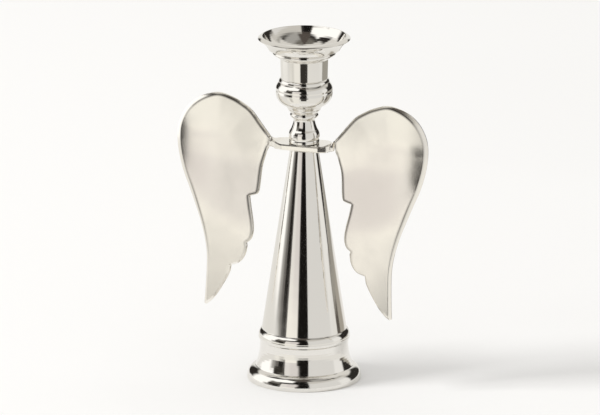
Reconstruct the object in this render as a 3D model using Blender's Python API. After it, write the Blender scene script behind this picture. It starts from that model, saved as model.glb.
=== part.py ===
"""Angel candle holder: a turned candle cup and a pair of cast wings on a hollow cone.

Metres, +Z up. The origin is on the cone's axis, in the plane that the foot stands on.
The wings spread along X, and the front of the holder faces -Y.
"""

import math

import bmesh
import bpy
import numpy as np
from mathutils import Vector
from mathutils.geometry import delaunay_2d_cdt

# Fits between pieces
SEAT_GAP = 0.0003            # between two faces that rest on each other
HOLE_CLEARANCE = 0.0003      # all round the stud in its holes

# Skirt: one hollow casting, from its foot up to the flat that carries the wings
FOOT_RADIUS = 0.0324         # widest, just above the table
FOOT_LAND_RADIUS = 0.0321    # outer edge of the flat ring that stands on the table
FOOT_ROUND_HEIGHT = 0.0010   # height of the widest point
FOOT_HEIGHT = 0.0070         # top of the rounded foot
COVE_FOOT_RADIUS = 0.0277    # hollow-sided band between foot and bead
COVE_NECK_RADIUS = 0.0251
COVE_HEIGHT = 0.0158
COVE_SAG = 0.0009
BEAD_WIDTH = 0.0066          # height of the rounded band under the cone
BEAD_RADIUS = 0.0259         # widest, near its top edge
BEAD_SHOULDER = 0.0014       # from its top edge down to the widest point
CONE_FOOT_RADIUS = 0.0240
CONE_TOP_RADIUS = 0.0080
CONE_HEIGHT = 0.1046
FOOT_ROUND_SHARE = 0.30      # bulge of the foot's top, of its step out from the cove
BEAD_TOP_SAG = 0.0003
BEAD_SIDE_SAG = 0.0005
SKIRT_WALL = 0.0024
SKIRT_WEB = 0.0040           # closed top of the cone

# Wing bracket: both wings and the bridge between them, one casting
BRIDGE_THICKNESS = 0.0034
BRIDGE_HALF_DEPTH = 0.0088   # front to back, at the middle
BRIDGE_HALF_LENGTH = 0.0191
BRIDGE_FLAT = 0.0108         # half length of the part that stays level
BRIDGE_EDGE_ROUND = 0.0007
RAMP_RISE = 0.0038           # its ends turn up by this much into the wings' roots
ROOT_FRONT = 0.0060          # front of its ends, forward of the axis
ROOT_BACK = 0.0016           # back of its ends, forward of the axis
BRIDGE_STATIONS = [0.0, 0.55, 0.66, 0.75, 0.83, 0.91, 1.0]  # its sections, as shares of its half length

WING_ROOT = 0.0192           # from the axis to the wing's root
WING_WIDTH = 0.0552          # from the root to the widest point
WING_HEIGHT = 0.1218         # from the tip to the crown
WING_TOP_RISE = 0.0271       # crown above the middle of the bridge
WING_THICKNESS = 0.0034
WING_EDGE_ROUND = 0.0023     # how far the rounded rim reaches into the face
WING_EDGE_LAND = 0.0003      # half of the narrow flat left along the edge
WING_SET_FORWARD = 0.0034    # middle of the wing, at the height of the bridge
WING_LEAN = math.radians(5.43)   # how far the wings lean, lower tips forward
WING_TWIST = math.radians(8.3)   # how far the outer edge is turned back, a wing's height below the bridge
DISH_DEPTH = 0.0018          # hollow of the wing's face behind its outer rim
DISH_WALL = 0.0200           # width of the wall that drops from the rim
DISH_INNER = 0.0200          # where the hollow starts, from the axis
DISH_OUTER = 0.0660          # where it is deepest
DISH_LOW = 0.0880            # height at which it starts
DISH_HIGH = 0.1280           # height above which it has its full depth
ROOT_OVERLAP = 0.0022        # how far the wing's root runs on inside the bridge
ROOT_STEP = 0.0006           # from the root's edge to the notch under the bridge

# Candle cup: one turned casting
SOCKET_BORE_RADIUS = 0.0114  # for a 22 mm taper candle
SOCKET_WALL = 0.0018
SOCKET_DEPTH = 0.0210        # bore below the dish
DISH_BOTTOM_DROP = 0.0126    # top of the bore below the rim
RIM_RADIUS = 0.0261
RIM_WIDTH = 0.0025           # lip round the dish, sloping outwards
RIM_DROP = 0.0013
RIM_EDGE = 0.0005
CUP_HEIGHT = 0.0618
TAP_DEPTH = 0.0135           # tapped hole for the stud, from below

# Turned profile of the cup: radii, and heights above its seat as shares of its height
KNOP_FOOT_RADIUS = 0.0086
KNOP_FOOT_HEIGHT = CUP_HEIGHT * 0.0210
KNOP_WAIST_RADIUS = 0.0083   # groove between the knop and its foot
KNOP_WAIST_HEIGHT = CUP_HEIGHT * 0.0307
KNOP_RADIUS = 0.0087
KNOP_HEIGHT = CUP_HEIGHT * 0.0712
KNOP_SHOULDER_RADIUS = 0.0076
KNOP_SHOULDER_HEIGHT = CUP_HEIGHT * 0.1246
NECK_RADIUS = 0.0060
NECK_HEIGHT = CUP_HEIGHT * 0.2071
LOWER_RING_FOOT_RADIUS = 0.0070
LOWER_RING_FOOT_HEIGHT = CUP_HEIGHT * 0.2346
LOWER_RING_RADIUS = 0.0080
LOWER_RING_HEIGHT = CUP_HEIGHT * 0.2540
GROOVE_RADIUS = 0.0075       # between the two rings over the neck
GROOVE_HEIGHT = CUP_HEIGHT * 0.2751
UPPER_RING_RADIUS = 0.0092
UPPER_RING_HEIGHT = CUP_HEIGHT * 0.3172
UPPER_RING_LAND = 0.0004
URN_FOOT_RADIUS = 0.0108
URN_FOOT_HEIGHT = CUP_HEIGHT * 0.3495
URN_RADIUS = 0.0159
URN_HEIGHT = CUP_HEIGHT * 0.4951
URN_SHOULDER_RADIUS = 0.0143
URN_SHOULDER_HEIGHT = CUP_HEIGHT * 0.5663
BEAD_RING_RADIUS = 0.0142
BEAD_RING_HEIGHT = CUP_HEIGHT * 0.5841
SOCKET_FOOT_HEIGHT = CUP_HEIGHT * 0.6068
SOCKET_TOP_HEIGHT = CUP_HEIGHT * 0.7864
SOCKET_TAPER = 0.0003        # wider at its top by this much
STEP_RADIUS = 0.0150         # foot of the cone under the dish
STEP_HEIGHT = CUP_HEIGHT * 0.8026
LEDGE_RADIUS = 0.0176
LEDGE_HEIGHT = CUP_HEIGHT * 0.8317
LEDGE_THICKNESS = 0.0012
FLARE_RADIUS = 0.0202        # outside of the dish where it turns out to the rim
FLARE_HEIGHT = CUP_HEIGHT * 0.8754

# How far the arcs of the cup's profile stand out from their chords
HOLLOW_SAG = 0.0016          # inside of the drip dish
FLARE_SAG = 0.0006
URN_LOWER_SAG = 0.0019
URN_UPPER_SAG = 0.0005
KNOP_SAG = 0.0003
FILLET_SAG = 0.0002

# Fasteners inside the skirt
STUD_RADIUS = 0.0030
STUD_BELOW_NUT = 0.0030
STUD_TIP_GAP = 0.0010        # between the stud's end and the bottom of the tapped hole
STUD_CHAMFER = 0.0006
WASHER_RADIUS = 0.0060
WASHER_THICKNESS = 0.0016
SPRING_RADIUS = 0.0054
SPRING_THICKNESS = 0.0015
SPRING_SLIT = math.radians(24)
NUT_ACROSS_FLATS = 0.0100
NUT_HEIGHT = 0.0050
NUT_CHAMFER = 0.0005
NUT_FACE_SHARE = 0.96        # radius of its flat ends, of half its width across flats

# Fineness
TURNED_STEPS = 40
FASTENER_STEPS = 24
ARC_STEP = math.radians(24)
OUTLINE_STEPS = 4            # points between two knots of the wing's outline
WING_GRID = 0.0066           # spacing of the points inside the wing
EDGE_ANGLES = (35, 62, 90)   # of the wing's rounded edge, where its insets lie
WALL_SHARES = (0.15, 0.40)   # of the dished wall, where its insets lie
SHARP_ANGLE = math.radians(35)

# Stack, from the table up
BEAD_FOOT_HEIGHT = FOOT_HEIGHT + COVE_HEIGHT
CONE_FOOT_HEIGHT = BEAD_FOOT_HEIGHT + BEAD_WIDTH
SKIRT_HEIGHT = CONE_FOOT_HEIGHT + CONE_HEIGHT
BRIDGE_BOTTOM = SKIRT_HEIGHT + SEAT_GAP
BRIDGE_TOP = BRIDGE_BOTTOM + BRIDGE_THICKNESS
BRIDGE_MIDDLE = (BRIDGE_BOTTOM + BRIDGE_TOP) / 2
CUP_SEAT = BRIDGE_TOP + SEAT_GAP
STUD_HOLE_RADIUS = STUD_RADIUS + HOLE_CLEARANCE
WASHER_TOP = SKIRT_HEIGHT - SKIRT_WEB - SEAT_GAP
SPRING_TOP = WASHER_TOP - WASHER_THICKNESS - SEAT_GAP
NUT_TOP = SPRING_TOP - SPRING_THICKNESS - SEAT_GAP
STUD_BOTTOM = NUT_TOP - NUT_HEIGHT - STUD_BELOW_NUT
STUD_TOP = CUP_SEAT + TAP_DEPTH - STUD_TIP_GAP

# Wing outline as shares of its width and height, from the root round the crown to the tip and back
CROWN_EDGE = [
    (0.000, 0.821), (0.080, 0.863), (0.200, 0.928), (0.298, 0.959), (0.413, 0.984), (0.560, 1.000),
    (0.718, 0.984), (0.840, 0.952), (0.931, 0.905), (0.989, 0.843), (1.000, 0.777), (0.980, 0.705),
    (0.930, 0.622), (0.853, 0.537), (0.790, 0.466), (0.719, 0.380), (0.668, 0.293), (0.648, 0.217),
    (0.652, 0.105), (0.662, 0.004),
]
LOWER_EDGE = [(0.640, 0.000), (0.590, 0.018), (0.525, 0.052), (0.443, 0.112), (0.387, 0.163), (0.372, 0.198)]
LOWEST_LOBE = [(0.372, 0.198), (0.281, 0.215), (0.226, 0.248), (0.204, 0.290), (0.210, 0.309)]
MIDDLE_LOBE = [
    (0.210, 0.309), (0.168, 0.325), (0.146, 0.348), (0.140, 0.378), (0.151, 0.420), (0.179, 0.480),
    (0.198, 0.527),
]
UPPER_LOBE = [(0.198, 0.527), (0.147, 0.534), (0.107, 0.545), (0.092, 0.580), (0.076, 0.665), (0.040, 0.725)]


def clear_scene():
    for thing in list(bpy.data.objects):
        bpy.data.objects.remove(thing, do_unlink=True)


def metal(name, colour, roughness):
    material = bpy.data.materials.new(name)
    material.use_nodes = True
    shader = material.node_tree.nodes["Principled BSDF"]
    shader.inputs["Base Color"].default_value = (*colour, 1.0)
    shader.inputs["Metallic"].default_value = 1.0
    shader.inputs["Roughness"].default_value = roughness
    return material


def add_object(name, bm, material):
    """Makes a smooth-shaded object with flat facets kept at its sharp edges."""
    bmesh.ops.recalc_face_normals(bm, faces=bm.faces)
    mesh = bpy.data.meshes.new(name)
    bm.to_mesh(mesh)
    bm.free()
    mesh.shade_smooth()
    mesh.set_sharp_from_angle(angle=SHARP_ANGLE)
    mesh.materials.append(material)
    thing = bpy.data.objects.new(name, mesh)
    bpy.context.collection.objects.link(thing)
    return thing


def arc_to(start, end, sag):
    """Points after start, up to end, on the arc that stands sag to the left of the chord."""
    if sag == 0:
        return [end]
    chord = Vector(end) - Vector(start)
    half = chord.length / 2
    radius = (half * half + sag * sag) / (2 * abs(sag))
    sweep = 2 * math.asin(min(1.0, half / radius))
    left = Vector((-chord.y, chord.x)).normalized() * math.copysign(1, sag)
    centre = (Vector(start) + Vector(end)) / 2 - left * (radius - abs(sag))
    steps = max(2, math.ceil(sweep / ARC_STEP))
    turn = -math.copysign(sweep / steps, sag)
    spoke = Vector(start) - centre
    points = []
    for step in range(1, steps + 1):
        angle = turn * step
        x = spoke.x * math.cos(angle) - spoke.y * math.sin(angle)
        y = spoke.x * math.sin(angle) + spoke.y * math.cos(angle)
        points.append((centre.x + x, centre.y + y))
    points[-1] = end
    return points


def profile(corners):
    """Points of a turned profile from (radius, height, sag of the arc that arrives there)."""
    points = [corners[0][:2]]
    for radius, height, sag in corners[1:]:
        points += arc_to(points[-1], (radius, height), sag)
    return points


def turned(name, points, steps, material, closed=False):
    """Spins a profile of (radius, height) points, outer side downwards, round the Z axis."""
    bm = bmesh.new()
    rim = [bm.verts.new((radius, 0, height)) for radius, height in points]
    edges = [bm.edges.new(pair) for pair in zip(rim, rim[1:])]
    if closed:
        edges.append(bm.edges.new((rim[-1], rim[0])))
    bmesh.ops.spin(
        bm, geom=rim + edges, cent=(0, 0, 0), axis=(0, 0, 1), dvec=(0, 0, 0),
        angle=2 * math.pi, steps=steps, use_merge=True, use_duplicate=False)
    bmesh.ops.remove_doubles(bm, verts=bm.verts, dist=0.000001)
    return add_object(name, bm, material)


def make_skirt(material):
    """Hollow cone with a bead, a cove and a rounded foot; open below, web at the top."""
    cone_run = (CONE_FOOT_RADIUS - CONE_TOP_RADIUS) / CONE_HEIGHT
    web_bottom = SKIRT_HEIGHT - SKIRT_WEB
    web_radius = CONE_TOP_RADIUS + cone_run * SKIRT_WEB - SKIRT_WALL
    foot_round = (FOOT_RADIUS - COVE_FOOT_RADIUS) * FOOT_ROUND_SHARE
    outer = [
        (STUD_HOLE_RADIUS, SKIRT_HEIGHT, 0),
        (CONE_TOP_RADIUS, SKIRT_HEIGHT, 0),
        (CONE_FOOT_RADIUS, CONE_FOOT_HEIGHT, 0),
        (BEAD_RADIUS, CONE_FOOT_HEIGHT - BEAD_SHOULDER, BEAD_TOP_SAG),
        (COVE_NECK_RADIUS, BEAD_FOOT_HEIGHT, BEAD_SIDE_SAG),
        (COVE_FOOT_RADIUS, FOOT_HEIGHT, -COVE_SAG),
        (FOOT_RADIUS, FOOT_ROUND_HEIGHT, foot_round),
        (FOOT_LAND_RADIUS, 0, 0),
    ]
    inner = [
        (COVE_FOOT_RADIUS - SKIRT_WALL, 0, 0),
        (COVE_FOOT_RADIUS - SKIRT_WALL, FOOT_HEIGHT - SKIRT_WALL, 0),
        (COVE_NECK_RADIUS - SKIRT_WALL, BEAD_FOOT_HEIGHT, COVE_SAG),
        (CONE_FOOT_RADIUS - SKIRT_WALL, CONE_FOOT_HEIGHT, 0),
        (web_radius, web_bottom, 0),
        (STUD_HOLE_RADIUS, web_bottom, 0),
    ]
    return turned("skirt", profile(outer + inner), TURNED_STEPS, material, closed=True)


def make_cup(material):
    """Drip dish, socket, urn, rings, neck and knop; candle bore above, tapped hole below."""
    socket_radius = SOCKET_BORE_RADIUS + SOCKET_WALL
    bore_top = CUP_HEIGHT - DISH_BOTTOM_DROP
    dish_radius = RIM_RADIUS - RIM_WIDTH
    corners = [
        (0, bore_top - SOCKET_DEPTH, 0),
        (SOCKET_BORE_RADIUS, bore_top - SOCKET_DEPTH, 0),
        (SOCKET_BORE_RADIUS, bore_top, 0),
        (dish_radius, CUP_HEIGHT, -HOLLOW_SAG),
        (RIM_RADIUS, CUP_HEIGHT - RIM_DROP, FILLET_SAG),
        (RIM_RADIUS - RIM_EDGE, CUP_HEIGHT - RIM_DROP - RIM_EDGE, 0),
        (FLARE_RADIUS, FLARE_HEIGHT, -FLARE_SAG),
        (LEDGE_RADIUS, LEDGE_HEIGHT + LEDGE_THICKNESS, -FILLET_SAG),
        (LEDGE_RADIUS, LEDGE_HEIGHT, FILLET_SAG),
        (STEP_RADIUS, STEP_HEIGHT, -FILLET_SAG),
        (socket_radius + SOCKET_TAPER, SOCKET_TOP_HEIGHT, -FILLET_SAG),
        (socket_radius, SOCKET_FOOT_HEIGHT, 0),
        (BEAD_RING_RADIUS, BEAD_RING_HEIGHT, FILLET_SAG),
        (URN_SHOULDER_RADIUS, URN_SHOULDER_HEIGHT, FILLET_SAG),
        (URN_RADIUS, URN_HEIGHT, URN_UPPER_SAG),
        (URN_FOOT_RADIUS, URN_FOOT_HEIGHT, URN_LOWER_SAG),
        (UPPER_RING_RADIUS, UPPER_RING_HEIGHT, 0),
        (UPPER_RING_RADIUS, UPPER_RING_HEIGHT - UPPER_RING_LAND, 0),
        (GROOVE_RADIUS, GROOVE_HEIGHT, 0),
        (LOWER_RING_RADIUS, LOWER_RING_HEIGHT, FILLET_SAG),
        (LOWER_RING_FOOT_RADIUS, LOWER_RING_FOOT_HEIGHT, FILLET_SAG),
        (NECK_RADIUS, NECK_HEIGHT, -FILLET_SAG),
        (KNOP_SHOULDER_RADIUS, KNOP_SHOULDER_HEIGHT, -FILLET_SAG),
        (KNOP_RADIUS, KNOP_HEIGHT, KNOP_SAG),
        (KNOP_WAIST_RADIUS, KNOP_WAIST_HEIGHT, FILLET_SAG),
        (KNOP_FOOT_RADIUS, KNOP_FOOT_HEIGHT, 0),
        (KNOP_FOOT_RADIUS, 0, 0),
        (STUD_HOLE_RADIUS, 0, 0),
        (STUD_HOLE_RADIUS, TAP_DEPTH, 0),
        (0, TAP_DEPTH + STUD_HOLE_RADIUS / 2, 0),
    ]
    cup = turned("candle_cup", profile(corners), TURNED_STEPS, material)
    cup.location.z = CUP_SEAT
    return cup


def spline_through(knots, steps):
    """Smooth curve through the knots, from the first up to, and without, the last."""
    ends = [2 * Vector(knots[0]) - Vector(knots[1]), 2 * Vector(knots[-1]) - Vector(knots[-2])]
    chain = [ends[0]] + [Vector(knot) for knot in knots] + [ends[1]]
    points = []
    for before, here, there, after in zip(chain, chain[1:], chain[2:], chain[3:]):
        for step in range(steps):
            t = step / steps
            pull = (there - before) * t + (2 * before - 5 * here + 4 * there - after) * t * t
            turn = (3 * (here - there) + after - before) * t * t * t
            points.append(here + (pull + turn) / 2)
    return points


def wing_outline(steps):
    """Closed outline of the right wing in (x, z), with its ramp into the bridge."""
    foot = BRIDGE_MIDDLE + WING_TOP_RISE - WING_HEIGHT
    shares = []
    for knots in (CROWN_EDGE, LOWER_EDGE, LOWEST_LOBE, MIDDLE_LOBE, UPPER_LOBE):
        shares += spline_through(knots, steps)
        if knots is CROWN_EDGE or knots is UPPER_LOBE:
            shares.append(Vector(knots[-1]))
    outline = [(WING_ROOT + u * WING_WIDTH, foot + v * WING_HEIGHT) for u, v in shares]
    outline.append((WING_ROOT + ROOT_STEP, BRIDGE_BOTTOM + BRIDGE_EDGE_ROUND / 2))
    outline.append((WING_ROOT - ROOT_OVERLAP, BRIDGE_BOTTOM + BRIDGE_EDGE_ROUND))
    outline.append((WING_ROOT - ROOT_OVERLAP, BRIDGE_TOP + RAMP_RISE / 4))
    return np.array(outline)


def edge_distance(points, outline):
    """Distance from each point to the nearest stretch of the closed outline."""
    start = outline
    run = np.roll(outline, -1, axis=0) - start
    offset = points[:, None, :] - start[None, :, :]
    share = np.clip((offset * run).sum(2) / (run * run).sum(1), 0, 1)
    return np.linalg.norm(offset - share[:, :, None] * run, axis=2).min(1)


def smooth_step(value, low, high):
    share = min(1.0, max(0.0, (value - low) / (high - low)))
    return share * share * (3 - 2 * share)


def wing_depths(x, z, inset):
    """Front and back depth (y) of the wing at (x, z), which lies inset inside its outline."""
    sweep = math.tan(WING_TWIST) * max(0.0, BRIDGE_MIDDLE - z) / WING_HEIGHT
    middle = WING_ROOT + WING_WIDTH / 2
    plane = math.tan(WING_LEAN) * (z - BRIDGE_MIDDLE) + sweep * (x - middle) - WING_SET_FORWARD
    hollow = smooth_step(x, DISH_INNER, DISH_OUTER) * smooth_step(z, DISH_LOW, DISH_HIGH) * DISH_DEPTH
    front_share = min(1.0, max(0.0, inset - WING_EDGE_ROUND) / DISH_WALL)
    back_share = min(1.0, inset / (DISH_WALL + WING_EDGE_ROUND))
    rounding = 1 - min(1.0, inset / WING_EDGE_ROUND)
    half = WING_EDGE_LAND + (WING_THICKNESS / 2 - WING_EDGE_LAND) * math.sqrt(1 - rounding * rounding)
    front = plane + hollow * (1 - (1 - front_share) ** 3) - half
    back = plane + hollow * (1 - (1 - back_share) ** 2) + half
    return front, back


def make_wing(side, outline, material):
    """One dished plate with rounded edges; side is 1 for the right wing and -1 for the left."""
    run = np.roll(outline, -1, axis=0) - np.roll(outline, 1, axis=0)
    inward = np.column_stack((run[:, 1], -run[:, 0])) / np.linalg.norm(run, axis=1)[:, None]
    insets = [WING_EDGE_ROUND * (1 - math.cos(math.radians(angle))) for angle in EDGE_ANGLES]
    insets += [WING_EDGE_ROUND + DISH_WALL * share for share in WALL_SHARES]
    clouds = [outline]
    for inset in insets:
        ring = outline + inward * inset
        stride = 1 if inset < WING_EDGE_ROUND * 1.01 else 2
        clear = edge_distance(ring, outline) > inset * 0.97
        clouds.append(ring[clear][::stride])
    low, high = outline.min(0), outline.max(0)
    across = np.arange(low[0], high[0], WING_GRID)
    up = np.arange(low[1], high[1], WING_GRID * 0.866)
    grid = [(x + WING_GRID / 2 * (row % 2), z) for row, z in enumerate(up) for x in across]
    grid = np.array(grid)
    clouds.append(grid[edge_distance(grid, outline) > insets[-1] + WING_GRID / 2])
    cloud = np.vstack(clouds)

    count = len(outline)
    loop = [(index, (index + 1) % count) for index in range(count)]
    found = delaunay_2d_cdt([Vector(point) for point in cloud], loop, [], 1, 0.000001)
    plan, triangles, sources = found[0], found[2], found[3]
    insides = edge_distance(np.array([tuple(point) for point in plan]), outline)

    bm = bmesh.new()
    fronts, backs = {}, {}
    used = sorted({index for triangle in triangles for index in triangle})
    for index in used:
        x, z = plan[index]
        inset = 0.0 if any(source < count for source in sources[index]) else insides[index]
        front, back = wing_depths(x, z, inset)
        fronts[index] = bm.verts.new((side * x, front, z))
        backs[index] = bm.verts.new((side * x, back, z))
    for a, b, c in triangles:
        bm.faces.new((fronts[a], fronts[b], fronts[c]))
        bm.faces.new((backs[c], backs[b], backs[a]))
    place = {}
    for index in used:
        for source in sources[index]:
            if source < count:
                place[source] = index
    for a, b in loop:
        a, b = place[a], place[b]
        bm.faces.new((fronts[a], backs[a], backs[b], fronts[b]))
    return add_object("wing", bm, material)


def make_bridge(material):
    """Flat plate between the wings; its ends narrow and ramp up into the wings' roots."""
    bm = bmesh.new()
    rings = []
    for share in [-share for share in reversed(BRIDGE_STATIONS[1:])] + BRIDGE_STATIONS:
        x = share * BRIDGE_HALF_LENGTH
        narrow = smooth_step(abs(x), BRIDGE_FLAT, BRIDGE_HALF_LENGTH)
        climb = min(1.0, max(0.0, abs(x) - BRIDGE_FLAT) / (BRIDGE_HALF_LENGTH - BRIDGE_FLAT))
        front = -BRIDGE_HALF_DEPTH + (BRIDGE_HALF_DEPTH - ROOT_FRONT) * climb
        back = BRIDGE_HALF_DEPTH - (BRIDGE_HALF_DEPTH + ROOT_BACK) * narrow
        top = BRIDGE_TOP + RAMP_RISE * climb * climb
        small = BRIDGE_EDGE_ROUND
        section = [
            (front, BRIDGE_BOTTOM + small), (front + small, BRIDGE_BOTTOM),
            (back - small, BRIDGE_BOTTOM), (back, BRIDGE_BOTTOM + small),
            (back, top - small), (back - small, top), (front + small, top), (front, top - small),
        ]
        rings.append([bm.verts.new((x, y, z)) for y, z in section])
    for here, there in zip(rings, rings[1:]):
        for corner in range(len(here)):
            after = (corner + 1) % len(here)
            bm.faces.new((here[corner], here[after], there[after], there[corner]))
    bm.faces.new(rings[0])
    bm.faces.new(reversed(rings[-1]))
    return add_object("wing_bracket", bm, material)


def combine(target, tool, operation):
    """Applies a Boolean of tool to target and removes the tool."""
    modifier = target.modifiers.new("combine", "BOOLEAN")
    modifier.solver = "EXACT"
    modifier.operation = operation
    modifier.object = tool
    bpy.context.view_layer.update()
    evaluated = target.evaluated_get(bpy.context.evaluated_depsgraph_get())
    mesh = bpy.data.meshes.new_from_object(evaluated)
    target.modifiers.clear()
    old = target.data
    target.data = mesh
    bpy.data.meshes.remove(old)
    bpy.data.objects.remove(tool, do_unlink=True)


def make_wing_bracket(material):
    """Both wings and the bridge joined into one casting, with a hole for the stud."""
    bracket = make_bridge(material)
    outline = wing_outline(OUTLINE_STEPS)
    for side in (1, -1):
        combine(bracket, make_wing(side, outline, material), "UNION")
    drill = [
        (0, BRIDGE_TOP + BRIDGE_THICKNESS), (STUD_HOLE_RADIUS, BRIDGE_TOP + BRIDGE_THICKNESS),
        (STUD_HOLE_RADIUS, BRIDGE_BOTTOM - BRIDGE_THICKNESS), (0, BRIDGE_BOTTOM - BRIDGE_THICKNESS),
    ]
    combine(bracket, turned("drill", drill, FASTENER_STEPS, material), "DIFFERENCE")
    bracket.data.shade_smooth()
    bracket.data.set_sharp_from_angle(angle=SHARP_ANGLE)
    return bracket


def make_stud(material):
    """Threaded rod, plain here, chamfered at both ends."""
    tip = STUD_RADIUS - STUD_CHAMFER
    points = [
        (0, STUD_TOP), (tip, STUD_TOP), (STUD_RADIUS, STUD_TOP - STUD_CHAMFER),
        (STUD_RADIUS, STUD_BOTTOM + STUD_CHAMFER), (tip, STUD_BOTTOM), (0, STUD_BOTTOM),
    ]
    return turned("stud", points, FASTENER_STEPS, material)


def make_flat_washer(material):
    low = WASHER_TOP - WASHER_THICKNESS
    points = [
        (STUD_HOLE_RADIUS, WASHER_TOP), (WASHER_RADIUS, WASHER_TOP),
        (WASHER_RADIUS, low), (STUD_HOLE_RADIUS, low),
    ]
    return turned("flat_washer", points, FASTENER_STEPS, material, closed=True)


def make_spring_washer(material):
    """Ring of square wire with a slit."""
    bm = bmesh.new()
    low = SPRING_TOP - SPRING_THICKNESS
    corners = [
        (STUD_HOLE_RADIUS, SPRING_TOP), (SPRING_RADIUS, SPRING_TOP),
        (SPRING_RADIUS, low), (STUD_HOLE_RADIUS, low),
    ]
    rings = []
    for step in range(FASTENER_STEPS + 1):
        angle = SPRING_SLIT / 2 + (2 * math.pi - SPRING_SLIT) * step / FASTENER_STEPS
        rings.append([bm.verts.new((r * math.cos(angle), r * math.sin(angle), z)) for r, z in corners])
    for here, there in zip(rings, rings[1:]):
        for corner in range(4):
            after = (corner + 1) % 4
            bm.faces.new((here[corner], here[after], there[after], there[corner]))
    bm.faces.new(rings[0])
    bm.faces.new(reversed(rings[-1]))
    return add_object("spring_washer", bm, material)


def make_hex_nut(material):
    """Hexagon with a plain bore and chamfered corners above and below."""
    corner_radius = NUT_ACROSS_FLATS / math.sqrt(3)
    low = NUT_TOP - NUT_HEIGHT
    bm = bmesh.new()
    bands = [
        (NUT_ACROSS_FLATS / 2 * NUT_FACE_SHARE, NUT_TOP), (None, NUT_TOP - NUT_CHAMFER),
        (None, low + NUT_CHAMFER), (NUT_ACROSS_FLATS / 2 * NUT_FACE_SHARE, low),
        (STUD_HOLE_RADIUS, low), (STUD_HOLE_RADIUS, NUT_TOP),
    ]
    rings = []
    for radius, height in bands:
        ring = []
        for step in range(FASTENER_STEPS):
            angle = 2 * math.pi * step / FASTENER_STEPS
            within = (angle % (math.pi / 3)) - math.pi / 6
            reach = radius if radius else corner_radius * math.cos(math.pi / 6) / math.cos(within)
            ring.append(bm.verts.new((reach * math.cos(angle), reach * math.sin(angle), height)))
        rings.append(ring)
    for here, there in zip(rings, rings[1:] + rings[:1]):
        for step in range(FASTENER_STEPS):
            after = (step + 1) % FASTENER_STEPS
            bm.faces.new((here[step], here[after], there[after], there[step]))
    return add_object("hex_nut", bm, material)


def main():
    clear_scene()
    polished = metal("polished nickel", (0.80, 0.78, 0.74), 0.08)
    satin = metal("satin nickel", (0.76, 0.74, 0.69), 0.30)
    steel = metal("plated steel", (0.62, 0.62, 0.60), 0.35)
    make_skirt(polished)
    make_wing_bracket(satin)
    make_cup(polished)
    make_stud(steel)
    make_flat_washer(steel)
    make_spring_washer(steel)
    make_hex_nut(steel)


main()
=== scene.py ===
"""Angel candle holder: fine surfaces, metal finishes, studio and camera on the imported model.

Metres, +Z up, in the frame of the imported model: the origin is on the cone's axis, in the plane that
the foot stands on, the wings spread along X, and the front of the holder faces -Y.
"""

import math

import bmesh
import bpy
import numpy as np
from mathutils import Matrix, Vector
from mathutils.geometry import delaunay_2d_cdt

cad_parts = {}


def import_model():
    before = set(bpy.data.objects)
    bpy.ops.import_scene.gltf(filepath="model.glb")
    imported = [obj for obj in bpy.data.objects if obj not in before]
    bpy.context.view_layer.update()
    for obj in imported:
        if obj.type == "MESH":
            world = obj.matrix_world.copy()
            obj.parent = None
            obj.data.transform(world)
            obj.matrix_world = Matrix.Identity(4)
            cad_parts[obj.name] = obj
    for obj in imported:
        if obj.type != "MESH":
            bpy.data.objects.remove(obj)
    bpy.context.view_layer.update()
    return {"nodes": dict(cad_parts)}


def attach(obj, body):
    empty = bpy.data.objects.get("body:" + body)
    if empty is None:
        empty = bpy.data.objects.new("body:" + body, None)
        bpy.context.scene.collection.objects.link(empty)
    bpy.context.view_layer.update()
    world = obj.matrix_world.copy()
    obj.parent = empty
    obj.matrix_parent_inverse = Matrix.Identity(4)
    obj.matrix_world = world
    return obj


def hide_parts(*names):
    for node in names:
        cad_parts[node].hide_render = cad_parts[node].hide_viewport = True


# Skirt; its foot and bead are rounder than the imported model's
FOOT_RADIUS = 0.0324
FOOT_LAND_RADIUS = 0.0321
FOOT_ROUND_HEIGHT = 0.0010
FOOT_HEIGHT = 0.0080
FOOT_ROUND = 0.0014
COVE_FOOT_RADIUS = 0.0277
COVE_NECK_RADIUS = 0.0251
COVE_SAG = 0.0009
BEAD_FOOT_HEIGHT = 0.0228
BEAD_RADIUS = 0.0259
BEAD_SHOULDER = 0.0040
BEAD_TOP_SAG = 0.0005
BEAD_SIDE_SAG = 0.0004
CONE_FOOT_HEIGHT = 0.0294
CONE_FOOT_RADIUS = 0.0240
CONE_TOP_RADIUS = 0.0080
SKIRT_HEIGHT = 0.1340
SKIRT_WALL = 0.0024
SKIRT_WEB = 0.0040           # thickness of the web
SKIRT_WEB_RADIUS = 0.0061    # inside of the wall, under the web at the top
STUD_HOLE_RADIUS = 0.0033

# Wing bracket
BRIDGE_BOTTOM = 0.1343
BRIDGE_TOP = 0.1377
BRIDGE_MIDDLE = (BRIDGE_BOTTOM + BRIDGE_TOP) / 2
BRIDGE_HALF_DEPTH = 0.0088
BRIDGE_HALF_LENGTH = 0.0191
BRIDGE_FLAT = 0.0108         # from the axis to where its ends narrow and ramp up
BRIDGE_EDGE_ROUND = 0.0007
BRIDGE_STEPS = 60
RAMP_RISE = 0.0038
ROOT_FRONT = 0.0060          # how far the bridge's ends reach forward
ROOT_BACK = 0.0016           # how far forward of the axis their back stays
WING_ROOT = 0.0192
WING_WIDTH = 0.0552
WING_HEIGHT = 0.1218
WING_TOP_RISE = 0.0271
WING_THICKNESS = 0.0034
WING_EDGE_ROUND = 0.0023     # how far the rim reaches into the face
WING_EDGE_LAND = 0.0003      # half of the narrow flat left along the edge
WING_EDGE_POWER = 0.9        # below 1 makes the rim bulge a little
INNER_EDGE_SHARE = 0.5       # the rim narrows to this share towards the root
EDGE_NARROWS = (0.050, 0.066)   # between these distances from the axis
WING_GRID = 0.0013           # spacing of the points inside the wing
GRID_ROW = 0.866             # distance of its rows, as a share of the spacing
RING_SLACK = 0.985           # a ring point nearer to the edge than this share of its inset is left out
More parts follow.
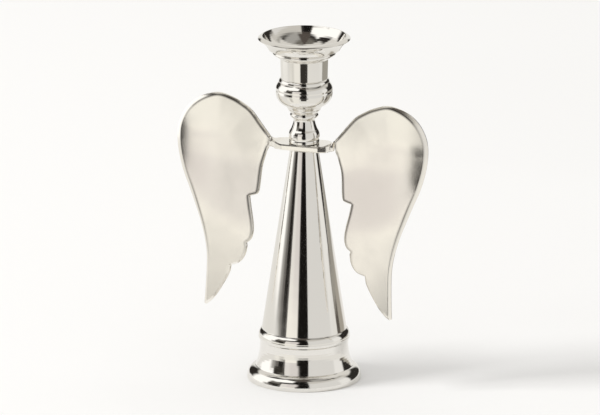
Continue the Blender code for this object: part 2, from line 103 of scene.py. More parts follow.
WING_SET_FORWARD = 0.0034
WING_LEAN = math.radians(5.43)
WING_TWIST = math.radians(8.3)
# The hollow is up to 1.5 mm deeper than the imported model's. Its wall follows the crown and the outer edge.
DISH_DEPTH = 0.0032
DISH_WALL = 0.0230
DISH_INNER = -0.0150         # it would start here, beyond the axis, and is deepest at DISH_OUTER
DISH_OUTER = 0.0740
DISH_LOW = 0.0880            # height at which it starts, and height above which it has its full depth
DISH_HIGH = 0.1280
ROOT_OVERLAP = 0.0022
ROOT_STEP = 0.0006
OUTLINE_STEPS = 9
# Rings of points along the wing's edge: share of the rim's width, and how much farther in
RIM_RINGS = [
    (0.1, 0), (0.35, 0), (0.65, 0), (0.9, 0), (1.0, 0), (1.0, 0.0003), (1.0, 0.0011), (1.0, 0.0022),
    (1.0, 0.0034), (1.0, 0.0047),
]
CREASE_REACH = 0.0009        # half the width of the painted dark line at the foot of the rim, which stands in for shade and dark reflections there
CREASE_ROOT = (0.0195, 0.0225)   # it fades in between these distances from the axis
CREASE_HEIGHTS = (0.068, 0.100)  # and between these heights
CREASE_WEAKENS = (0.055, 0.070)  # and weakens between these distances from the axis
OUTER_CREASE = 0.4           # its strength beyond them
ROOT_SOFTENING = 8           # rounds that soften the corners where the wings join the bridge
ROOT_SOFT_START = (0.0150, 0.0175)  # the softening fades in between these distances from the axis
ROOT_SOFT_END = (0.0215, 0.0245)    # and out between these
DRILL_OVERSHOOT = 0.005      # how far the drill for the stud's hole stands out of the bridge

# Candle cup, heights above its seat
CUP_SEAT = 0.1380
CUP_HEIGHT = 0.0618
SOCKET_BORE_RADIUS = 0.0114
SOCKET_DEPTH = 0.0210
DISH_BOTTOM_DROP = 0.0126
TAP_DEPTH = 0.0135

# Floor, surrounding light and the key lamp, which is placed as the cards are
FLOOR_REACH = 9.0
FLOOR_COLOUR = (0.93, 0.925, 0.915, 1.0)
SURROUND_COLOUR = (1.0, 0.992, 0.978, 1.0)
SURROUND_STRENGTH = 0.79
KEY_TURN = -80
KEY_DISTANCE = 3.2
KEY_HEIGHT = 3.4
KEY_SIZE = 1.3
KEY_POWER = 84
KEY_AIM = Vector((0, 0, 0.08))

# Camera: where it stands from the axis, what it looks at, and its lens
CAMERA_AZIMUTH = math.radians(18.4)
CAMERA_DISTANCE = 5.0
CAMERA_HEIGHT = 1.462
AIM_HEIGHT = 0.103
PIXEL = 0.000565             # size of one pixel at the aim
FRAME_WIDTH = 600
SENSOR_WIDTH = 36
FARTHEST_SEEN = 100
AIM_OFF_CENTRE = (4.2, 5.9)  # the aim lies this many pixels right of and above the frame's centre

# Fineness of the surfaces
TURNED_STEPS = 224           # round the axis
DRILL_STEPS = 64
ARC_STEP = math.radians(3)
EDGE_SOFTENING = 0.00022     # how far a rounded corner reaches along its sides
LONGEST_REACH = 0.45         # and at most this share of a side
SOFTENED_BEND = math.radians(12)
SOFTENING_STEPS = 4
LONG_STRETCH = 5 * EDGE_SOFTENING
TURNED_SHARP_BEND = math.radians(35)
CAST_SHARP_BEND = math.radians(40)
MERGE_DISTANCE = 0.000001
POINTS_AT_ONCE = 400

# Light in the room as the metal reflects it, on a dome that stands on the table. A card lies by its
# turn from the camera's direction, positive to the right, and by its rise in degrees: on the dome seen
# from the origin, or, below 0, on the table seen from RISE_HEIGHT. Each has turn from and to; rise of
# its lower edge, at its left and right end; rise of its upper edge, likewise; softness of its sides and
# of its edges; and colour. A later card covers an earlier one.
RISE_HEIGHT = 0.1
LOWEST_RISE = -40.0
HIGHEST_RISE = 90.0
ROOM_RADIUS = 0.9
TABLE_ROWS = 40
RISE_STEP = 1.0
TURN_STEP = 0.75
CARD_LIFT = 0.0004           # keeps the cards off the floor
TABLE_LIGHT = (0.88, 0.865, 0.83)
ROOM_LIGHT = (0.030, 0.027, 0.024)
WHITE = (1.25, 1.24, 1.22)
GREY = (0.80, 0.79, 0.77)
BLACK = (0.010, 0.009, 0.008)
CARDS = [
    # ceiling, and the pale sweep behind the holder
    (-180, 180, 72, 72, 91, 91, 1, 10, (0.18, 0.17, 0.15)),
    (24, 112, 58, 58, 76, 76, 24, 8, (0.42, 0.41, 0.39)),
    (-30, 25, 60, 60, 91, 91, 14, 8, (0.10, 0.085, 0.075)),
    (100, 200, 50, 42, 92, 92, 12, 8, (0.78, 0.76, 0.72)),
    (-200, -88, 42, 66, 92, 92, 12, 8, (0.78, 0.76, 0.72)),
    (156, 200, -8, -8, 92, 92, 8, 6, (0.88, 0.87, 0.84)),
    (-200, -160, -8, -8, 92, 92, 8, 6, (0.88, 0.87, 0.84)),
    (-140, -100, -8, -8, 4, 4, 6, 3, (0.92, 0.91, 0.88)),
    (-166, -112, 31, 31, 60, 60, 8, 6, (0.80, 0.78, 0.74)),
    (120, 166, 31, 31, 60, 60, 8, 6, (0.80, 0.78, 0.74)),
    # right: a large grey card, brighter towards its far side
    (10, 124, 37, 32, 62, 46, 6, 10, (0.66, 0.64, 0.60)),
    (30, 105, -8, -8, 41, 41, 8, 8, GREY),
    (10, 98, -8, -8, 41, 41, 1.5, 6, GREY),
    (78, 105, -8, -8, 30, 30, 8, 8, (0.94, 0.93, 0.91)),
    # left: the key window with its slanted top, a card beside the camera, and the bright table before them
    (-126, -62, -8, -8, 36, 66, 16, 6, WHITE),
    (-72, -27, 37, 46, 66, 62, 8, 8, WHITE),
    (-49, -17, -8, -8, 30, 34, 2.5, 5, (0.88, 0.85, 0.82)),
    (-36, -14, -8, -8, 30, 32, 8, 5, (0.80, 0.76, 0.74)),
    (-49, -17, -8, -8, 4, 4, 2.5, 4, (1.08, 1.05, 0.98)),
    (-75, -22, -42, -42, -5, -5, 12, 3, (0.98, 0.96, 0.90)),
    # gaps between the cards, and what they leave dark on the table; the table here also carries a painted
    # shadow of the holder and a painted reflection of the wing
    (-78, -52, 8, 8, 38, 34, 10, 8, (0.20, 0.19, 0.17)),
    (-88, -53, -8, -8, 12, 12, 12, 6, (0.42, 0.41, 0.39)),
    (-76, -53, 0, 0, 12, 12, 12, 3, (0.16, 0.15, 0.14)),
    (-66, -53, 1, 1, 12, 12, 3, 3, (0.02, 0.018, 0.016)),
    (-78, -53, 10, 10, 23, 23, 5, 5, (0.04, 0.036, 0.03)),
    (-63, -50, -30, -30, -10, -10, 8, 6, (0.66, 0.64, 0.60)),
    # painted shadow: the holder's own shadow on the table to the right, with a darker core
    (102, 136, -30, -30, -6, -6, 10, 5, (0.42, 0.39, 0.34)),
    (99, 112, -22, -22, -5, -5, 4, 5, (0.12, 0.105, 0.09)),
    # painted reflection: a thin dark streak of the wing on the table
    (100, 176, -12, -12, -7.4, -7.4, 8, 1.5, (0.38, 0.36, 0.32)),
    (-18, 6, -8, -8, 11, 11, 5, 4, BLACK),
    (-9.5, 10, -8, -8, 42, 42, 2, 5, BLACK),
    (-21, 2, 38, 38, 58, 58, 5, 5, BLACK),
    (-14, 9.5, -22, -22, -11, -11, 4, 6, (0.03, 0.027, 0.024)),
    (-19, 16, -12, -12, -7.6, -7.6, 4, 1, (0.04, 0.036, 0.032)),
]

# Wing outline as shares of its width and height, from the root round the crown to the tip and back
CROWN_EDGE = [
    (0.000, 0.821), (0.080, 0.863), (0.200, 0.928), (0.298, 0.959), (0.413, 0.984), (0.560, 1.000),
    (0.718, 0.984), (0.840, 0.952), (0.931, 0.905), (0.989, 0.843), (1.000, 0.777), (0.980, 0.705),
    (0.930, 0.622), (0.853, 0.537), (0.790, 0.466), (0.719, 0.380), (0.668, 0.293), (0.648, 0.217),
    (0.652, 0.105), (0.662, 0.004),
]
LOWER_EDGE = [
    (0.640, 0.000), (0.590, 0.018), (0.525, 0.052), (0.443, 0.112), (0.387, 0.163), (0.372, 0.198),
]
LOWEST_LOBE = [(0.372, 0.198), (0.281, 0.215), (0.226, 0.248), (0.204, 0.290), (0.210, 0.309)]
MIDDLE_LOBE = [
    (0.210, 0.309), (0.168, 0.325), (0.146, 0.348), (0.140, 0.378), (0.151, 0.420), (0.179, 0.480),
    (0.198, 0.527),
]
UPPER_LOBE = [(0.198, 0.527), (0.147, 0.534), (0.107, 0.545), (0.092, 0.580), (0.076, 0.665), (0.040, 0.725)]

# Profiles of the skirt and the cup, from the top down the outside and back up the inside: radius,
# height, and how far the arc that arrives there stands out from its chord. The cup's starts at the bottom
# of its bore.
SKIRT_PROFILE = [
    (STUD_HOLE_RADIUS, SKIRT_HEIGHT, 0),
    (CONE_TOP_RADIUS, SKIRT_HEIGHT, 0),
    (CONE_FOOT_RADIUS, CONE_FOOT_HEIGHT, 0),
    (BEAD_RADIUS, CONE_FOOT_HEIGHT - BEAD_SHOULDER, BEAD_TOP_SAG),
    (COVE_NECK_RADIUS, BEAD_FOOT_HEIGHT, BEAD_SIDE_SAG),
    (COVE_FOOT_RADIUS, FOOT_HEIGHT, -COVE_SAG),
    (FOOT_RADIUS, FOOT_ROUND_HEIGHT, FOOT_ROUND),
    (FOOT_LAND_RADIUS, 0, 0),
    (COVE_FOOT_RADIUS - SKIRT_WALL, 0, 0),
    (COVE_FOOT_RADIUS - SKIRT_WALL, FOOT_HEIGHT - SKIRT_WALL, 0),
    (COVE_NECK_RADIUS - SKIRT_WALL, BEAD_FOOT_HEIGHT, COVE_SAG),
    (CONE_FOOT_RADIUS - SKIRT_WALL, CONE_FOOT_HEIGHT, 0),
    (SKIRT_WEB_RADIUS, SKIRT_HEIGHT - SKIRT_WEB, 0),
    (STUD_HOLE_RADIUS, SKIRT_HEIGHT - SKIRT_WEB, 0),
]
CUP_PROFILE = [
    (0, CUP_HEIGHT - DISH_BOTTOM_DROP - SOCKET_DEPTH, 0),
    (SOCKET_BORE_RADIUS, CUP_HEIGHT - DISH_BOTTOM_DROP - SOCKET_DEPTH, 0),
    (SOCKET_BORE_RADIUS, CUP_HEIGHT - DISH_BOTTOM_DROP, 0),
    (0.0236, CUP_HEIGHT, -0.0016),
    (0.0261, CUP_HEIGHT - 0.0014, 0.0002),
    (0.0258, CUP_HEIGHT - 0.0018, 0.0001),
    (0.0202, 0.0541, -0.0006),
    (0.0176, 0.0526, -0.0002),
    (0.0176, 0.0514, 0.0002),
    (0.0150, 0.0496, -0.0002),
    (0.0135, 0.0486, -0.0002),
    (0.0132, 0.0375, 0),
    (0.0142, 0.0361, 0.0002),
    (0.0142, 0.0352, 0.0001),
    (0.0156, 0.0332, 0.0001),
    (0.0159, 0.0306, 0.0002),
    (0.0108, 0.0216, 0.0019),
    (0.0092, 0.0196, 0),
    (0.0092, 0.0192, 0),
    (0.0075, 0.0170, 0),
    (0.0080, 0.0157, 0.0002),
    (0.0070, 0.0145, 0.0002),
    (0.0060, 0.0128, -0.0002),
    (0.0076, 0.0077, -0.0002),
    (0.0087, 0.0044, 0.0003),
    (0.0083, 0.0019, 0.0002),
    (0.0086, 0.0013, 0),
    (0.0086, 0, 0),
    (STUD_HOLE_RADIUS, 0, 0),
    (STUD_HOLE_RADIUS, TAP_DEPTH, 0),
    (0, TAP_DEPTH + STUD_HOLE_RADIUS / 2, 0),
]


# Geometry helpers

def add_object(name, bm, material):
    bmesh.ops.recalc_face_normals(bm, faces=bm.faces)
    mesh = bpy.data.meshes.new(name)
    bm.to_mesh(mesh)
    bm.free()
    mesh.shade_smooth()
    mesh.set_sharp_from_angle(angle=TURNED_SHARP_BEND)
    mesh.materials.append(material)
    thing = bpy.data.objects.new(name, mesh)
    bpy.context.collection.objects.link(thing)
    return thing


def arc_to(start, end, sag):
    """Points after start, up to end, on the arc that stands sag to the left of the chord."""
    if sag == 0:
        return [end]
    chord = Vector(end) - Vector(start)
    half = chord.length / 2
    radius = (half * half + sag * sag) / (2 * abs(sag))
    sweep = 2 * math.asin(min(1.0, half / radius))
    left = Vector((-chord.y, chord.x)).normalized() * math.copysign(1, sag)
    centre = (Vector(start) + Vector(end)) / 2 - left * (radius - abs(sag))
    steps = max(3, math.ceil(sweep / ARC_STEP))
    turn = -math.copysign(sweep / steps, sag)
    spoke = Vector(start) - centre
    points = []
    for step in range(1, steps + 1):
        angle = turn * step
        x = spoke.x * math.cos(angle) - spoke.y * math.sin(angle)
        y = spoke.x * math.sin(angle) + spoke.y * math.cos(angle)
        points.append((centre.x + x, centre.y + y))
    points[-1] = end
    return points


def soften(points, closed):
    """Rounds each sharp corner of a profile off by a small arc."""
    softened = []
    count = len(points)
    for index, point in enumerate(points):
        if not closed and index in (0, count - 1):
            softened.append(point)
            continue
        here = Vector(point)
        before = Vector(points[index - 1]) - here
        after = Vector(points[(index + 1) % count]) - here
        bend = math.pi - before.angle(after, math.pi)
        if bend < SOFTENED_BEND:
            softened.append(point)
            continue
        reach = min(EDGE_SOFTENING, before.length * LONGEST_REACH, after.length * LONGEST_REACH)
        start = here + before.normalized() * reach
        end = here + after.normalized() * reach
        for step in range(SOFTENING_STEPS + 1):
            share = step / SOFTENING_STEPS
            mixed = start * (1 - share) ** 2 + here * 2 * share * (1 - share) + end * share ** 2
            softened.append((mixed.x, mixed.y))
    return softened


def supported(points, closed):
    """Adds a point beside each end of the long straight stretches, which keeps their shading straight."""
    ends = points[1:] + points[:1] if closed else points[1:]
    result = []
    for start, end in zip(points, ends):
        result.append(start)
        run = Vector(end) - Vector(start)
        if run.length > LONG_STRETCH:
            for share in (EDGE_SOFTENING / run.length, 1 - EDGE_SOFTENING / run.length):
                result.append((start[0] + run.x * share, start[1] + run.y * share))
    if not closed:
        result.append(points[-1])
    return result


def turned(name, corners, material, closed=False, steps=TURNED_STEPS):
    """Spins a profile round the Z axis."""
    points = [corners[0][:2]]
    for radius, height, sag in corners[1:]:
        points += arc_to(points[-1], (radius, height), sag)
    points = supported(soften(points, closed), closed)
    bm = bmesh.new()
    rim = [bm.verts.new((radius, 0, height)) for radius, height in points]
    edges = [bm.edges.new(pair) for pair in zip(rim, rim[1:])]
    if closed:
        edges.append(bm.edges.new((rim[-1], rim[0])))
    bmesh.ops.spin(
        bm, geom=rim + edges, cent=(0, 0, 0), axis=(0, 0, 1), dvec=(0, 0, 0),
        angle=2 * math.pi, steps=steps, use_merge=True, use_duplicate=False)
    bmesh.ops.remove_doubles(bm, verts=bm.verts, dist=MERGE_DISTANCE)
    return add_object(name, bm, material)


def spline_through(knots, steps):
    """Smooth curve through the knots, from the first up to, and without, the last."""
    ends = [2 * Vector(knots[0]) - Vector(knots[1]), 2 * Vector(knots[-1]) - Vector(knots[-2])]
    chain = [ends[0]] + [Vector(knot) for knot in knots] + [ends[1]]
    points = []
    for before, here, there, after in zip(chain, chain[1:], chain[2:], chain[3:]):
        for step in range(steps):
            t = step / steps
            pull = (there - before) * t + (2 * before - 5 * here + 4 * there - after) * t * t
            turn = (3 * (here - there) + after - before) * t * t * t
            points.append(here + (pull + turn) / 2)
    return points


# Wing bracket

def wing_outline(steps):
    """Closed outline of the right wing in (x, z), with its ramp into the bridge."""
    foot = BRIDGE_MIDDLE + WING_TOP_RISE - WING_HEIGHT
    shares = []
    for knots in (CROWN_EDGE, LOWER_EDGE, LOWEST_LOBE, MIDDLE_LOBE, UPPER_LOBE):
        shares += spline_through(knots, steps)
        if knots is CROWN_EDGE or knots is UPPER_LOBE:
            shares.append(Vector(knots[-1]))
    outline = [(WING_ROOT + u * WING_WIDTH, foot + v * WING_HEIGHT) for u, v in shares]
    outline.append((WING_ROOT + ROOT_STEP, BRIDGE_BOTTOM + BRIDGE_EDGE_ROUND / 2))
    outline.append((WING_ROOT - ROOT_OVERLAP, BRIDGE_BOTTOM + BRIDGE_EDGE_ROUND))
    outline.append((WING_ROOT - ROOT_OVERLAP, BRIDGE_TOP + RAMP_RISE / 4))
    return np.array(outline)


def edge_distance(points, outline):
    """Distance from each point to the nearest stretch of the closed outline."""
    run = np.roll(outline, -1, axis=0) - outline
    nearest = []
    for chunk in np.array_split(points, max(1, len(points) // POINTS_AT_ONCE)):
        offset = chunk[:, None, :] - outline[None, :, :]
        share = np.clip((offset * run).sum(2) / (run * run).sum(1), 0, 1)
        nearest.append(np.linalg.norm(offset - share[:, :, None] * run, axis=2).min(1))
    return np.concatenate(nearest)


def smooth_step(value, low, high):
    share = min(1.0, max(0.0, (value - low) / (high - low)))
    return share * share * (3 - 2 * share)


def rim_width(x):
    return WING_EDGE_ROUND * (INNER_EDGE_SHARE + (1 - INNER_EDGE_SHARE) * smooth_step(x, *EDGE_NARROWS))


def wing_depths(x, z, inset, below_crown):
    """Front and back depth (y) of the wing at (x, z), given its distances from the edge and the crown."""
    sweep = math.tan(WING_TWIST) * max(0.0, BRIDGE_MIDDLE - z) / WING_HEIGHT
    middle = WING_ROOT + WING_WIDTH / 2
    plane = math.tan(WING_LEAN) * (z - BRIDGE_MIDDLE) + sweep * (x - middle) - WING_SET_FORWARD
    outward = min(1.0, max(0.0, (x - DISH_INNER) / (DISH_OUTER - DISH_INNER)))
    hollow = outward * smooth_step(z, DISH_LOW, DISH_HIGH) * DISH_DEPTH
    rim = rim_width(x)
    front_share = min(1.0, max(0.0, below_crown - rim) / DISH_WALL)
    back_share = min(1.0, below_crown / (DISH_WALL + rim))
    half = WING_EDGE_LAND + (WING_THICKNESS / 2 - WING_EDGE_LAND) * min(1.0, inset / rim) ** WING_EDGE_POWER
    front = plane + hollow * (1 - (1 - front_share) ** 2) - half
    back = plane + hollow * (1 - (1 - back_share) ** 2) + half
    return front, back


def make_wing(side, outline, bm):
    """One dished plate with rounded edges, added to bm; side is 1 for the right wing."""
    run = np.roll(outline, -1, axis=0) - np.roll(outline, 1, axis=0)
    inward = np.column_stack((run[:, 1], -run[:, 0])) / np.linalg.norm(run, axis=1)[:, None]
    rims = np.array([rim_width(x) for x in outline[:, 0]])
    clouds = [outline]
    for share, more in RIM_RINGS:
        inset = rims * share + more
        ring = outline + inward * inset[:, None]
        clouds.append(ring[edge_distance(ring, outline) > inset * RING_SLACK])
    low, high = outline.min(0), outline.max(0)
    grid = np.array([
        (x + WING_GRID / 2 * (row % 2), z)
        for row, z in enumerate(np.arange(low[1], high[1], WING_GRID * GRID_ROW))
        for x in np.arange(low[0], high[0], WING_GRID)])
    clouds.append(grid[edge_distance(grid, outline) > WING_EDGE_ROUND + RIM_RINGS[-1][1] + WING_GRID / 2])
    cloud = np.vstack(clouds)
    count = len(outline)
    loop = [(index, (index + 1) % count) for index in range(count)]
    found = delaunay_2d_cdt([Vector(point) for point in cloud], loop, [], 1, MERGE_DISTANCE)
    plan, triangles, sources = found[0], found[2], found[3]
    spots = np.array([tuple(point) for point in plan])
    insides = edge_distance(spots, outline)
    crown = outline[:(len(CROWN_EDGE) - 1) * OUTLINE_STEPS + 1]
    below_crown = edge_distance(spots, np.vstack((crown, crown[-2:0:-1])))
    fronts, backs, place = {}, {}, {}
    for index in sorted({index for triangle in triangles for index in triangle}):
        x, z = plan[index]
        on_edge = [source for source in sources[index] if source < count]
        front, back = wing_depths(x, z, 0.0 if on_edge else insides[index], below_crown[index])
        fronts[index] = bm.verts.new((side * x, front, z))
        backs[index] = bm.verts.new((side * x, back, z))
        for source in on_edge:
            place[source] = index
    faces = []
    for a, b, c in triangles:
        faces.append((fronts[a], fronts[b], fronts[c]))
        faces.append((backs[c], backs[b], backs[a]))
    for a, b in loop:
        a, b = place[a], place[b]
        faces.append((fronts[a], backs[a], backs[b], fronts[b]))
    for face in faces:
        bm.faces.new(face if side > 0 else tuple(reversed(face)))


def make_bridge(bm):
    """Flat plate between the wings; its ends narrow and ramp up into the wings' roots."""
    rings = []
    for step in range(BRIDGE_STEPS + 1):
        x = BRIDGE_HALF_LENGTH * (2 * step / BRIDGE_STEPS - 1)
        narrow = smooth_step(abs(x), BRIDGE_FLAT, BRIDGE_HALF_LENGTH)
        climb = min(1.0, max(0.0, abs(x) - BRIDGE_FLAT) / (BRIDGE_HALF_LENGTH - BRIDGE_FLAT))
        front = -BRIDGE_HALF_DEPTH + (BRIDGE_HALF_DEPTH - ROOT_FRONT) * climb
        back = BRIDGE_HALF_DEPTH - (BRIDGE_HALF_DEPTH + ROOT_BACK) * narrow
        top = BRIDGE_TOP + RAMP_RISE * climb * climb
        small = BRIDGE_EDGE_ROUND
        section = [
            (front, BRIDGE_BOTTOM + small), (front + small, BRIDGE_BOTTOM),
            (back - small, BRIDGE_BOTTOM), (back, BRIDGE_BOTTOM + small),
            (back, top - small), (back - small, top), (front + small, top), (front, top - small),
        ]
        rings.append([bm.verts.new((x, y, z)) for y, z in section])
    for here, there in zip(rings, rings[1:]):
        for corner in range(len(here)):
            after = (corner + 1) % len(here)
            bm.faces.new((here[corner], here[after], there[after], there[corner]))
    bm.faces.new(rings[0])
    bm.faces.new(reversed(rings[-1]))


def evaluated_mesh(thing):
    """The mesh with its modifiers, which are then removed."""
    bpy.context.view_layer.update()
    mesh = bpy.data.meshes.new_from_object(thing.evaluated_get(bpy.context.evaluated_depsgraph_get()))
    thing.modifiers.clear()
    old = thing.data
    thing.data = mesh
    bpy.data.meshes.remove(old)


def combine(thing, tool, operation):
    """Applies a Boolean of the tool to the thing and removes the tool."""
    cut = thing.modifiers.new("combine", "BOOLEAN")
    cut.operation = operation
    cut.solver = "EXACT"
    cut.object = tool
    evaluated_mesh(thing)
    bpy.data.objects.remove(tool, do_unlink=True)


def paint_crease_shade(mesh, outline):
    """Stores on each point how strongly shade is painted there, as a dark line along the foot of the rim."""
    points = np.array([tuple(vertex.co) for vertex in mesh.vertices])
    across, height = abs(points[:, 0]), points[:, 2]
    rims = np.array([rim_width(x) for x in across])
    # painted shade: a dark line, strongest right at the foot of the rim and fading away from it
    painted_shade = 1 - abs(edge_distance(np.column_stack((across, height)), outline) - rims) / CREASE_REACH
    painted_shade = np.clip(painted_shade, 0, 1) * np.interp(across, CREASE_ROOT, (0, 1))
    painted_shade *= np.interp(height, CREASE_HEIGHTS, (0, 1)) * np.interp(across, CREASE_WEAKENS, (1, OUTER_CREASE))
    crease_shade = mesh.attributes.new("crease_shade", "FLOAT", "POINT")
    crease_shade.data.foreach_set("value", painted_shade)


def make_wing_bracket(material):
    """Both wings and the bridge as one cast surface, softened where they join."""
    bm = bmesh.new()
    make_bridge(bm)
    bracket = add_object("wing_bracket_fine", bm, material)
    outline = wing_outline(OUTLINE_STEPS)
    for side in (1, -1):
        bm = bmesh.new()
        make_wing(side, outline, bm)
        combine(bracket, add_object("wing", bm, material), "UNION")
    roots = bracket.vertex_groups.new(name="roots")
    for vertex in bracket.data.vertices:
        x = abs(vertex.co.x)
        share = smooth_step(x, *ROOT_SOFT_START) * (1 - smooth_step(x, *ROOT_SOFT_END))
        roots.add([vertex.index], share, "REPLACE")
    smooth = bracket.modifiers.new("soften", "SMOOTH")
    smooth.factor = 0.5
    smooth.iterations = ROOT_SOFTENING
    smooth.vertex_group = "roots"
    evaluated_mesh(bracket)
    combine(bracket, turned("drill", [
        (0, BRIDGE_TOP + DRILL_OVERSHOOT, 0),
        (STUD_HOLE_RADIUS, BRIDGE_TOP + DRILL_OVERSHOOT, 0),
        (STUD_HOLE_RADIUS, BRIDGE_BOTTOM - DRILL_OVERSHOOT, 0),
        (0, BRIDGE_BOTTOM - DRILL_OVERSHOOT, 0),
    ], material, steps=DRILL_STEPS), "DIFFERENCE")
    bracket.data.shade_smooth()
    bracket.data.set_sharp_from_angle(angle=CAST_SHARP_BEND)
    even = bracket.modifiers.new("even", "WEIGHTED_NORMAL")
    even.keep_sharp = True
    evaluated_mesh(bracket)
    # paints shade as a dark line along the foot of the rim
    paint_crease_shade(bracket.data, outline)
    return bracket


# Materials

def metal(name, colour, rough_low, rough_high):
    """Metal whose roughness varies softly; returns it with its nodes, links, shader and coordinates."""
    material = bpy.data.materials.new(name)
    material.use_nodes = True
    nodes, links = material.node_tree.nodes, material.node_tree.links
    shader = nodes["Principled BSDF"]
    shader.inputs["Base Color"].default_value = (*colour, 1.0)
    shader.inputs["Metallic"].default_value = 1.0
    place = nodes.new("ShaderNodeTexCoord")
    cloud = nodes.new("ShaderNodeTexNoise")
    cloud.inputs["Scale"].default_value = 90
    cloud.inputs["Detail"].default_value = 4
    links.new(place.outputs["Object"], cloud.inputs["Vector"])
    spread = nodes.new("ShaderNodeMapRange")
    spread.inputs["From Min"].default_value = 0.3
    spread.inputs["From Max"].default_value = 0.7
    spread.inputs["To Min"].default_value = rough_low
    spread.inputs["To Max"].default_value = rough_high
    links.new(cloud.outputs["Fac"], spread.inputs["Value"])
    links.new(spread.outputs["Result"], shader.inputs["Roughness"])
    return material, nodes, links, shader, place


def bump(nodes, links, height, distance, strength, normal=None):
    node = nodes.new("ShaderNodeBump")
    node.inputs["Distance"].default_value = distance
    node.inputs["Strength"].default_value = strength
    links.new(height, node.inputs["Height"])
    if normal:
        links.new(normal, node.inputs["Normal"])
    return node.outputs["Normal"]


def noise(nodes, links, place, scale, detail):
    node = nodes.new("ShaderNodeTexNoise")
    node.inputs["Scale"].default_value = scale
    node.inputs["Detail"].default_value = detail
    links.new(place.outputs["Object"], node.inputs["Vector"])
    return node.outputs["Fac"]


def polished_nickel():
    """Mirror-bright plate with the slight waviness of hand polishing."""
    material, nodes, links, shader, place = metal("polished_nickel", (0.83, 0.81, 0.77), 0.05, 0.10)
    waves = noise(nodes, links, place, scale=70, detail=1.0)
    grain = noise(nodes, links, place, scale=900, detail=3.0)
    waved = bump(nodes, links, waves, distance=0.00008, strength=0.5)
    hazed = bump(nodes, links, grain, distance=0.000004, strength=0.5, normal=waved)
    links.new(hazed, shader.inputs["Normal"])
    return material


def satin_nickel():
    """Brushed plate over a casting whose skin is finely pitted, with shade painted dark along the foot of
    its rim.
    """
    bright = (0.92, 0.89, 0.83)
    material, nodes, links, shader, place = metal("satin_nickel", bright, 0.15, 0.22)
    crease_shade = nodes.new("ShaderNodeAttribute")
    crease_shade.attribute_name = "crease_shade"
    tint = nodes.new("ShaderNodeMix")
    tint.data_type = "RGBA"
    # this node's sockets share their names between its data types, so they are taken by number
    factor, clean, painted_shade_colour, mixed = tint.inputs[0], tint.inputs[6], tint.inputs[7], tint.outputs[2]
    clean.default_value = (*bright, 1.0)
    # painted shade: near-black colour mixed in along the foot of the rim, standing in for shade and dark
    # reflections
    painted_shade_colour.default_value = (0.10, 0.094, 0.084, 1.0)
    links.new(crease_shade.outputs["Fac"], factor)
    links.new(mixed, shader.inputs["Base Color"])
    unevenness = noise(nodes, links, place, scale=90, detail=2.0)
    pits = noise(nodes, links, place, scale=1500, detail=3.0)
    uneven = bump(nodes, links, unevenness, distance=0.0002, strength=0.12)
    pitted = bump(nodes, links, pits, distance=0.00003, strength=0.5, normal=uneven)
    links.new(pitted, shader.inputs["Normal"])
    return material


def plated_steel():
    material, nodes, links, shader, place = metal("plated_steel", (0.62, 0.62, 0.60), 0.28, 0.42)
    grain = noise(nodes, links, place, scale=1200, detail=2.0)
    links.new(bump(nodes, links, grain, distance=0.00003, strength=0.3), shader.inputs["Normal"])
    return material


# Studio

def studio_point(turn, distance, height):
    """Place by its direction from the camera's, positive to the right of the view."""
    angle = CAMERA_AZIMUTH + math.radians(turn)
    return Vector((math.sin(angle) * distance, -math.cos(angle) * distance, height))


def cover(value, low, high, soft):
    """1 between low and high, falling to 0 across soft at both ends."""
    up = np.clip((value - low) / soft + 0.5, 0, 1)
    down = np.clip((high - value) / soft + 0.5, 0, 1)
    return up * up * (3 - 2 * up) * down * down * (3 - 2 * down)


def make_cards():
    """The cards as one ring over the table and a dome, which show only in the metal."""
    rows = []
    rim_rise = -math.degrees(math.atan2(RISE_HEIGHT, ROOM_RADIUS))
    for rise in np.linspace(LOWEST_RISE, rim_rise, TABLE_ROWS):
        rows.append((rise, RISE_HEIGHT / math.tan(math.radians(-rise)), 0.0))
    for rise in np.arange(0.0, HIGHEST_RISE + RISE_STEP / 2, RISE_STEP):
        angle = math.radians(rise)
        rows.append((rise, ROOM_RADIUS * math.cos(angle), ROOM_RADIUS * math.sin(angle)))
    turns = np.arange(-180, 180, TURN_STEP)
    points = [
        studio_point(turn, distance, height + CARD_LIFT)
        for _, distance, height in rows for turn in turns]
    across = len(turns)
    faces = []
    for row in range(len(rows) - 1):
        for step in range(across):
            after = (step + 1) % across
            faces.append((row * across + step, row * across + after,
                          (row + 1) * across + after, (row + 1) * across + step))
    mesh = bpy.data.meshes.new("cards")
    mesh.from_pydata(points, [], faces)

    turn = np.tile(turns, len(rows))
    rise = np.repeat([row[0] for row in rows], across)
    light = np.where(rise[:, None] < 0, np.array(TABLE_LIGHT), np.array(ROOM_LIGHT))
    for left, right, low_left, low_right, high_left, high_right, side_soft, edge_soft, colour in CARDS:
        across_share = np.clip((turn - left) / (right - left), 0, 1)
        low = low_left + (low_right - low_left) * across_share
        high = high_left + (high_right - high_left) * across_share
        share = cover(turn, left, right, side_soft) * cover(rise, low, high, edge_soft)
        light += (np.array(colour) - light) * share[:, None]
    layer = mesh.color_attributes.new(name="light", type="FLOAT_COLOR", domain="POINT")
    layer.data.foreach_set("color", np.column_stack((light, np.ones(len(light)))).ravel())

    material = bpy.data.materials.new("cards")
    material.use_nodes = True
    material.cycles.emission_sampling = "NONE"
    nodes, links = material.node_tree.nodes, material.node_tree.links
    nodes.clear()
    source = nodes.new("ShaderNodeAttribute")
    source.attribute_name = "light"
    emission = nodes.new("ShaderNodeEmission")
    links.new(source.outputs["Color"], emission.inputs["Color"])
    output = nodes.new("ShaderNodeOutputMaterial")
    links.new(emission.outputs["Emission"], output.inputs["Surface"])
    mesh.materials.append(material)
    cards = bpy.data.objects.new("cards", mesh)
    bpy.context.collection.objects.link(cards)
    cards.visible_camera = False
    cards.visible_diffuse = False
    cards.visible_shadow = False


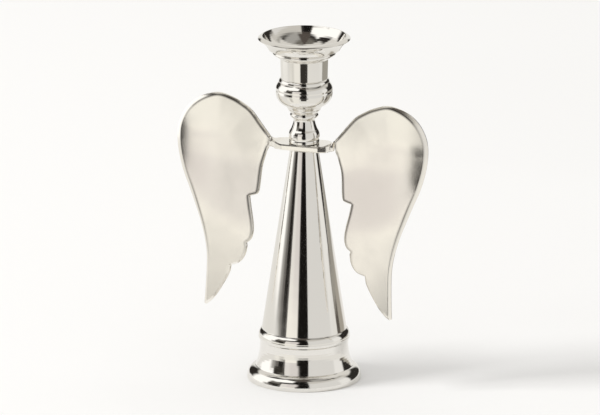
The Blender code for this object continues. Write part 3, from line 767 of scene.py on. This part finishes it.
def make_floor():
    material = bpy.data.materials.new("floor")
    material.use_nodes = True
    shader = material.node_tree.nodes["Principled BSDF"]
    shader.inputs["Base Color"].default_value = FLOOR_COLOUR
    shader.inputs["Roughness"].default_value = 0.9
    shader.inputs["Specular IOR Level"].default_value = 0.1
    mesh = bpy.data.meshes.new("floor")
    corners = [(x * FLOOR_REACH, y * FLOOR_REACH, 0) for x, y in ((-1, -1), (1, -1), (1, 1), (-1, 1))]
    mesh.from_pydata(corners, [], [(0, 1, 2, 3)])
    mesh.materials.append(material)
    floor = bpy.data.objects.new("floor", mesh)
    bpy.context.collection.objects.link(floor)


def make_world():
    world = bpy.data.worlds.new("studio")
    bpy.context.scene.world = world
    world.use_nodes = True
    background = world.node_tree.nodes["Background"]
    background.inputs["Color"].default_value = SURROUND_COLOUR
    background.inputs["Strength"].default_value = SURROUND_STRENGTH


def make_key():
    """Soft lamp from the upper left, which throws the faint shadow to the right."""
    lamp = bpy.data.lights.new("key", "AREA")
    lamp.energy = KEY_POWER
    lamp.size = KEY_SIZE
    key = bpy.data.objects.new("key", lamp)
    key.location = studio_point(KEY_TURN, KEY_DISTANCE, KEY_HEIGHT)
    key.rotation_euler = (KEY_AIM - key.location).to_track_quat("-Z", "Y").to_euler()
    key.visible_glossy = False
    bpy.context.collection.objects.link(key)


def make_camera():
    """Long lens at the photograph's angle, turned a little so that the aim lies off the frame's centre."""
    place = studio_point(0, CAMERA_DISTANCE, CAMERA_HEIGHT)
    aim = Vector((0, 0, AIM_HEIGHT))
    ahead = (aim - place).normalized()
    right = ahead.cross(Vector((0, 0, 1))).normalized()
    up = right.cross(ahead)
    centre = aim - right * AIM_OFF_CENTRE[0] * PIXEL - up * AIM_OFF_CENTRE[1] * PIXEL
    lens = bpy.data.cameras.new("camera")
    lens.sensor_width = SENSOR_WIDTH
    lens.lens = lens.sensor_width * (aim - place).length / (FRAME_WIDTH * PIXEL)
    lens.clip_end = FARTHEST_SEEN
    camera = bpy.data.objects.new("camera", lens)
    camera.location = place
    camera.rotation_euler = (centre - place).to_track_quat("-Z", "Y").to_euler()
    bpy.context.collection.objects.link(camera)
    bpy.context.scene.camera = camera


def main():
    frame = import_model()
    nickel = polished_nickel()
    satin = satin_nickel()
    steel = plated_steel()

    skirt = turned("skirt_fine", SKIRT_PROFILE, nickel, closed=True)
    cup = turned("candle_cup_fine", [(r, h + CUP_SEAT, sag) for r, h, sag in CUP_PROFILE], nickel)
    bracket = make_wing_bracket(satin)
    for piece, node, slot in (
            (skirt, "skirt", "polished_nickel"), (cup, "candle_cup", "polished_nickel"),
            (bracket, "wing_bracket", "satin_nickel")):
        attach(piece, "root")
        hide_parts(node)
    for node in ("stud", "flat_washer", "spring_washer", "hex_nut"):
        for holder in frame["nodes"][node].material_slots:
            holder.material = steel

    make_world()
    make_floor()
    make_cards()
    make_key()
    make_camera()
    bpy.context.scene.view_settings.view_transform = "Standard"


main()
